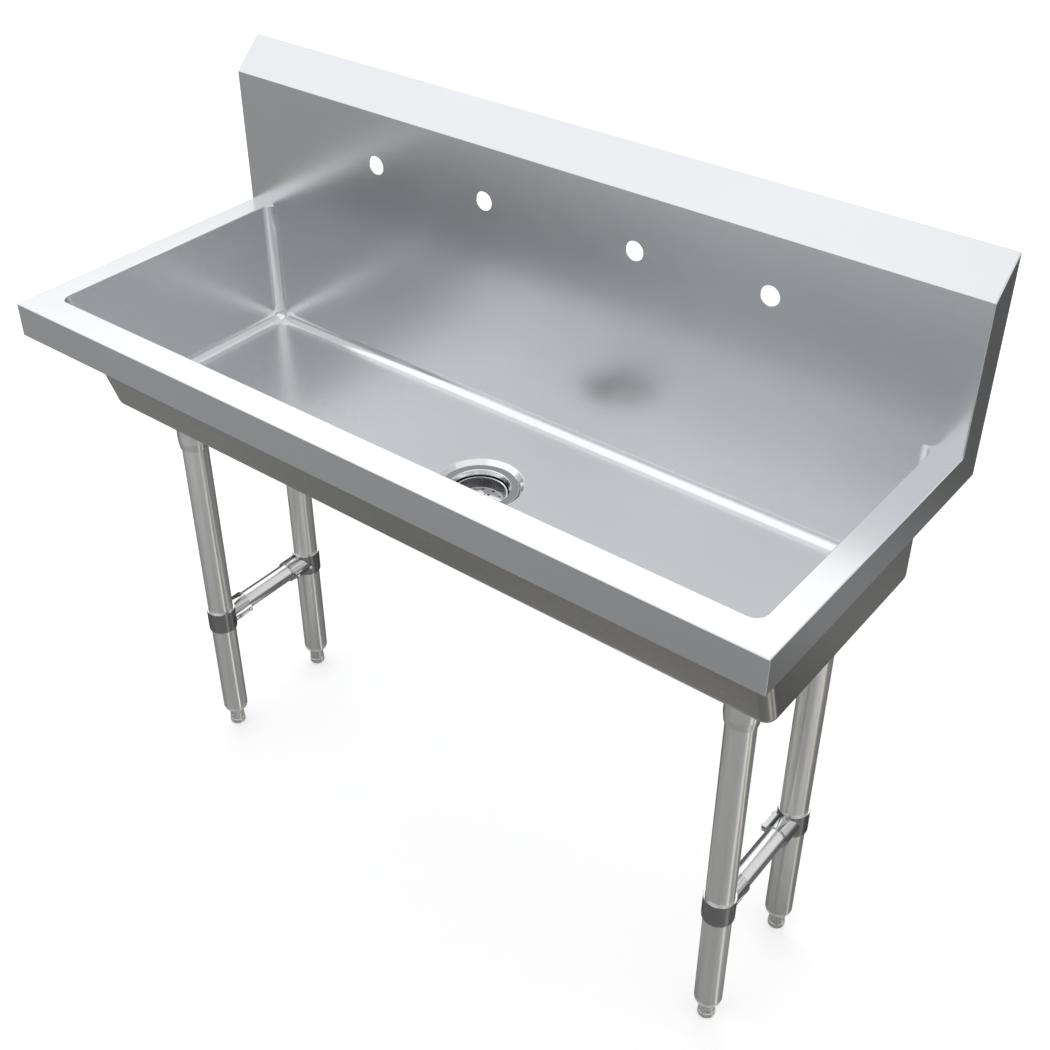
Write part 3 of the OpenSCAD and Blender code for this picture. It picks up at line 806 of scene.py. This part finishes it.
def build_clamp_screws():
    """Domed screws whose heads sit on the clamps' side bars."""
    lo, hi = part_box("clamp_screws")
    height = (lo.z + hi.z) / 2
    shank, head, depth = 2.95 * MM, 3.5 * MM, 6.5 * MM
    edge, dome, socket = 1.7 * MM, 2.6 * MM, 1.2 * MM
    profile = closed_outline([
        (0, -depth, 0),
        (shank, -depth, 0.4 * MM),
        (shank, 0, 0),
        (head, 0, 0.2 * MM),
        (head, edge, 1.5 * MM),
        (1.6 * MM, dome, 0.3 * MM),
        (1.5 * MM, socket, 0.1 * MM),
        (0, socket, 0),
    ])
    pieces = []
    for corner in CORNERS:
        axis = middle(f"leg_{corner}")
        side = -1 if corner.endswith("left") else 1
        inward = 1 if corner.startswith("front") else -1
        bar_lo, bar_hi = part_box(f"brace_clamp_{corner}")
        bar_x = bar_hi.x if side < 0 else bar_lo.x
        for reach in SCREW_REACH:
            foot = Vector((bar_x, axis.y + inward * reach, height))
            piece = lathe(f"clamp_screw_{len(pieces) + 1}", profile, foot, -ACROSS * side, SCREW_STEPS)
            pieces.append(shaded(piece, SCREW_METAL))
    first, *others = pieces
    placed(first, "sink", "screw", "clamp_screws")
    for piece in others:
        placed(piece, "sink", "screw")


# Upward parts of a normal that tell the drain's flange, slopes and inner walls apart: slopes get a painted
# highlight, walls a painted shade
FLANGE_NORMAL = 0.97
SLOPE_NORMAL = 0.25
BASKET_TOP_NORMAL = 0.6


def build_strainer():
    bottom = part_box("strainer_body")[0].z
    wall = 1.5 * MM
    flange = 56.5 * MM
    flange_top = SEAT_Z + 1.7 * MM
    cup = 42 * MM
    floor = flange_top - 35 * MM
    throat = floor - 4 * MM
    throat_end = throat - 8 * MM
    bore = 20.5 * MM
    corners = [
        (flange, SEAT_Z, 0.2 * MM),
        (flange, flange_top, 1.2 * MM),
        (44.6 * MM, flange_top, 1.5 * MM),
        (cup, flange_top - 6.6 * MM, 1.5 * MM),
        (cup, floor, 4 * MM),
        (24 * MM, throat, 2 * MM),
        (bore, throat_end, 2 * MM),
        (bore, bottom, 0.5 * MM),
        (OUTLET_R, bottom, 1 * MM),
        (OUTLET_R, throat_end, 1 * MM),
        (25.5 * MM, throat - wall, 2 * MM),
        (cup + wall, floor - wall, 4 * MM),
        (cup + wall, SEAT_Z - wall, 2 * MM),
        (45.5 * MM, SEAT_Z, 1 * MM),
    ]
    piece = lathe("strainer_body_turned", closed_outline(corners), DRAIN, steps=STRAINER_STEPS)
    shaded(piece, DRAIN_METAL)
    # Slopes are brightened as a painted highlight, and walls that face sideways or down are darkened as a
    # painted shade
    dressed(piece, POLISHED_AND_HIGHLIGHT_METAL, lambda face: SLOPE_NORMAL < face.normal.z < FLANGE_NORMAL)
    dressed(piece, DRAIN_SHADE_METAL, lambda face: face.normal.z <= SLOPE_NORMAL)
    placed(piece, "sink", "strainer", "strainer_body")
    # The basket is dark as a painted shade, with a painted highlight on the faces that look up
    basket = softened("strainer_basket", "basket", "strainer", DRAIN_SHADE_METAL, 0.4 * MM)
    dressed(basket, POLISHED_AND_HIGHLIGHT_METAL, lambda face: face.normal.z > BASKET_TOP_NORMAL)
    softened("basket_post", "basket", "strainer", POLISHED_AND_HIGHLIGHT_METAL, 0.6 * MM)


def build_all():
    build_bowl()
    build_deck()
    build_backsplash()
    build_splash_end(-1, "splash_end_left")
    build_splash_end(1, "splash_end_right")
    for corner in CORNERS:
        build_leg(corner)
        build_socket(corner)
        build_insert(corner)
        build_foot(corner)
        build_clamp(corner)
    for side in ("left", "right"):
        build_brace(side)
    build_strainer()
    softened("basket_stopper", "basket", "rubber", RUBBER, 0.8 * MM)
    softened("strainer_gasket", "sink", "rubber", RUBBER, 0.5 * MM)
    softened("friction_washer", "sink", "fibre", FIBRE, 0.2 * MM)
    softened("lock_nut", "sink", "nut", NUT_METAL, 0.8 * MM)
    softened("socket_screws", "sink", "screw", SCREW_METAL, 0.3 * MM)
    build_clamp_screws()


build_all()


# Studio

CAMERA_PLACE = Vector((1.0839, -1.2601, 1.8574))
CAMERA_AIM = Vector((-0.49613, 0.63592, -0.59115))
CAMERA_LENS = 50
CAMERA_SENSOR = 36
CAMERA_SHIFT = (0.0016, -0.0093)

AMBIENT = 0.8
DAYLIGHT = (0.95, 0.98, 1.0)
LAMPLIGHT = (1.0, 0.95, 0.85)

# Each lamp's name, place, aim, width, height, brightness and colour
LAMPS = (
    ("back_left", (-2.5, 3.2, 4.9), (0, 0, 0.9), 6.0, 4.0, 0.6, DAYLIGHT),
    ("front_left", (-2.2, -2.4, 4.3), (0.2, 0, 0.9), 7.0, 6.0, 0.27, DAYLIGHT),
    ("front_right", (2.9, -2.4, 3.7), (0, 0, 0.9), 4.0, 4.0, 0.05, DAYLIGHT),
    ("low_right", (3.6, -1.6, 0.85), (0, 0, 0.85), 3.6, 1.7, 0.2, WHITE),
)

FLOOR_REACH = 14
FLOOR_PAINT = (0.86, 0.86, 0.86)
# The floor's own glow, and the distances from the origin over which it grows
FLOOR_GLOW = (0.34, 0.52)
FLOOR_FADE = (0.8, 2.4)

CARD_REACH = 6
CARD_HEIGHT = 2 * MM
# The card's grey at places along Y, darker under and behind the sink: a painted shade that reflections show
CARD_SHADE_GREYS = ((-1.0, 0.375), (-0.38, 0.30), (-0.14, 0.37), (0.0, 0.34), (0.12, 0.24), (0.5, 0.15),
              (0.85, 0.28), (1.6, 0.115))
CARD_SPAN = (-1.2, 2)
# How far the wedges lean away from X, how fast they widen, and where along X the left ones end
WEDGE_SPREAD = 0.08
WEDGE_SLOPE = (0.064, 0.096)
WEDGE_END = (0.1, 0.4)

FLAG_PLACE = Vector((-0.9, 1.85, 0))
FLAG_TURN = radians(38)
FLAG_WIDTH = 4.2
FLAG_HEIGHT = 1.1
FLAG_PAINT = (0.12, 0.12, 0.12)


def build_camera():
    data = bpy.data.cameras.new("camera")
    data.lens = CAMERA_LENS
    data.sensor_width = CAMERA_SENSOR
    data.shift_x, data.shift_y = CAMERA_SHIFT
    camera = bpy.data.objects.new("camera", data)
    bpy.context.scene.collection.objects.link(camera)
    camera.location = CAMERA_PLACE
    camera.rotation_euler = CAMERA_AIM.to_track_quat("-Z", "Y").to_euler()
    bpy.context.scene.camera = camera


def computed(tree, value, operation, by=0):
    """One step of arithmetic on a value, by a number or by another value."""
    step = tree.nodes.new("ShaderNodeMath")
    step.operation = operation
    tree.links.new(value, step.inputs[0])
    if isinstance(by, (int, float)):
        step.inputs[1].default_value = by
    else:
        tree.links.new(by, step.inputs[1])
    return step.outputs[0]


def seen_directly(tree):
    """1 for what the camera, a reflection or a refraction sees, and 0 for light that falls on things."""
    path = tree.nodes.new("ShaderNodeLightPath")
    seen = path.outputs["Is Camera Ray"]
    for name in ("Is Glossy Ray", "Is Transmission Ray"):
        seen = computed(tree, seen, "MAXIMUM", path.outputs[name])
    return seen


def build_world():
    """A plain light on everything, and plain white behind what is seen."""
    world = bpy.data.worlds.new("studio")
    bpy.context.scene.world = world
    world.use_nodes = True
    tree = world.node_tree
    light = tree.nodes["Background"]
    white = tree.nodes.new("ShaderNodeBackground")
    for node, strength in ((light, AMBIENT), (white, 1)):
        node.inputs["Color"].default_value = (*WHITE, 1)
        node.inputs["Strength"].default_value = strength
    mix = tree.nodes.new("ShaderNodeMixShader")
    for i, source in enumerate((seen_directly(tree), light.outputs[0], white.outputs[0])):
        tree.links.new(source, mix.inputs[i])
    tree.links.new(mix.outputs[0], tree.nodes["World Output"].inputs["Surface"])


def matte(piece, name):
    """Gives a studio piece a material without gloss."""
    material = bpy.data.materials.new(name)
    tree, shader = nodes_of(material)
    shader.inputs["Roughness"].default_value = 1
    shader.inputs["Specular IOR Level"].default_value = 0
    piece.data.materials.append(material)
    return tree, shader


def reflected_only(piece):
    """Hides a studio piece from everything but reflections."""
    piece.visible_camera = False
    piece.visible_diffuse = False
    piece.visible_shadow = False


def sheet_on_floor(name, reach, height):
    """A flat square sheet over the middle of the floor."""
    skin = Skin()
    skin.strip([[(x, y, height) for x in (-reach, reach)] for y in (-reach, reach)])
    piece = skin.finish(name, near=(0, 0, 0), facing=UP)
    return piece


def build_floor():
    """A pale floor whose own glow, faint near the sink, makes it white further out."""
    tree, shader = matte(sheet_on_floor("floor", FLOOR_REACH, 0), "floor_paint")
    shader.inputs["Base Color"].default_value = (*FLOOR_PAINT, 1)
    place = tree.nodes.new("ShaderNodeNewGeometry")
    distance = tree.nodes.new("ShaderNodeVectorMath")
    distance.operation = "LENGTH"
    tree.links.new(place.outputs["Position"], distance.inputs[0])
    glow = mapped(tree, distance.outputs["Value"], FLOOR_FADE, FLOOR_GLOW)
    glow = computed(tree, seen_directly(tree), "MULTIPLY", glow)
    tree.links.new(glow, shader.inputs["Emission Strength"])
    shader.inputs["Emission Color"].default_value = (*WHITE, 1)


def wedges(tree, along, across):
    """1 inside a wedge that starts at each leg and widens to the right, and 0 elsewhere: where the card
    glows to paint highlight lines on the legs.
    """
    front, rear = middle("leg_front_right"), middle("leg_rear_right")
    beyond = computed(tree, along, "GREATER_THAN", front.x)
    away = computed(tree, along, "ADD", front.x)
    away = computed(tree, away, "SUBTRACT", computed(tree, beyond, "MULTIPLY", 2 * front.x))
    row = computed(tree, computed(tree, away, "MULTIPLY", WEDGE_SPREAD), "ADD", (rear.y - front.y) / 2)
    off_middle = computed(tree, computed(tree, across, "SUBTRACT", (front.y + rear.y) / 2), "ABSOLUTE")
    off_row = computed(tree, computed(tree, off_middle, "SUBTRACT", row), "ABSOLUTE")
    slope = computed(tree, off_row, "DIVIDE", computed(tree, away, "MAXIMUM", 1 * MM))
    wedge = mapped(tree, slope, WEDGE_SLOPE, (1, 0))
    inner_end = mapped(tree, along, WEDGE_END, (1, 0))
    return computed(tree, wedge, "MULTIPLY", computed(tree, inner_end, "MAXIMUM", beyond))


def build_grey_card():
    """A grey card on the floor, darker under and behind the sink as a painted shade, with a glowing white
    wedge beside each leg as a painted highlight: only reflections show it.
    """
    card = sheet_on_floor("card", CARD_REACH, CARD_HEIGHT)
    reflected_only(card)
    tree, shader = matte(card, "card_painted_shade_and_glow")
    place = tree.nodes.new("ShaderNodeNewGeometry")
    split = tree.nodes.new("ShaderNodeSeparateXYZ")
    tree.links.new(place.outputs["Position"], split.inputs["Vector"])
    along, across = split.outputs["X"], split.outputs["Y"]
    first, last = CARD_SPAN
    stops = [((y - first) / (last - first), (grey, grey, grey)) for y, grey in CARD_SHADE_GREYS]
    greys = coloured(tree, mapped(tree, across, CARD_SPAN), stops, "EASE")
    tree.links.new(greys, shader.inputs["Base Color"])
    # The wedges glow in lamplight colour though they are no lamp: a painted highlight on the legs
    tree.links.new(wedges(tree, along, across), shader.inputs["Emission Strength"])
    shader.inputs["Emission Color"].default_value = (*LAMPLIGHT, 1)


def build_flag():
    """A dark grey panel behind the sink that only reflections show, for the tubes' dark outlines."""
    skin = Skin()
    half = Vector((cos(FLAG_TURN), sin(FLAG_TURN), 0)) * FLAG_WIDTH / 2
    foot = [FLAG_PLACE - half, FLAG_PLACE + half]
    skin.strip([foot, [p + UP * FLAG_HEIGHT for p in foot]])
    flag = skin.finish("flag")
    shader = matte(flag, "flag_cloth")[1]
    shader.inputs["Base Color"].default_value = (*FLAG_PAINT, 1)
    reflected_only(flag)


def softbox(name, place, aim, width, height, radiance, color):
    """A soft panel of light of a given brightness, not seen by the camera itself."""
    data = bpy.data.lights.new(name, "AREA")
    data.shape = "RECTANGLE"
    data.size = width
    data.size_y = height
    data.energy = radiance * pi * width * height
    data.color = color
    lamp = bpy.data.objects.new(name, data)
    bpy.context.scene.collection.objects.link(lamp)
    lamp.location = place
    lamp.rotation_euler = (Vector(aim) - Vector(place)).to_track_quat("-Z", "Y").to_euler()
    lamp.visible_camera = False


build_camera()
build_world()
build_floor()
build_grey_card()
build_flag()
for lamp in LAMPS:
    softbox(*lamp)

scene = bpy.context.scene
scene.view_settings.view_transform = "Standard"
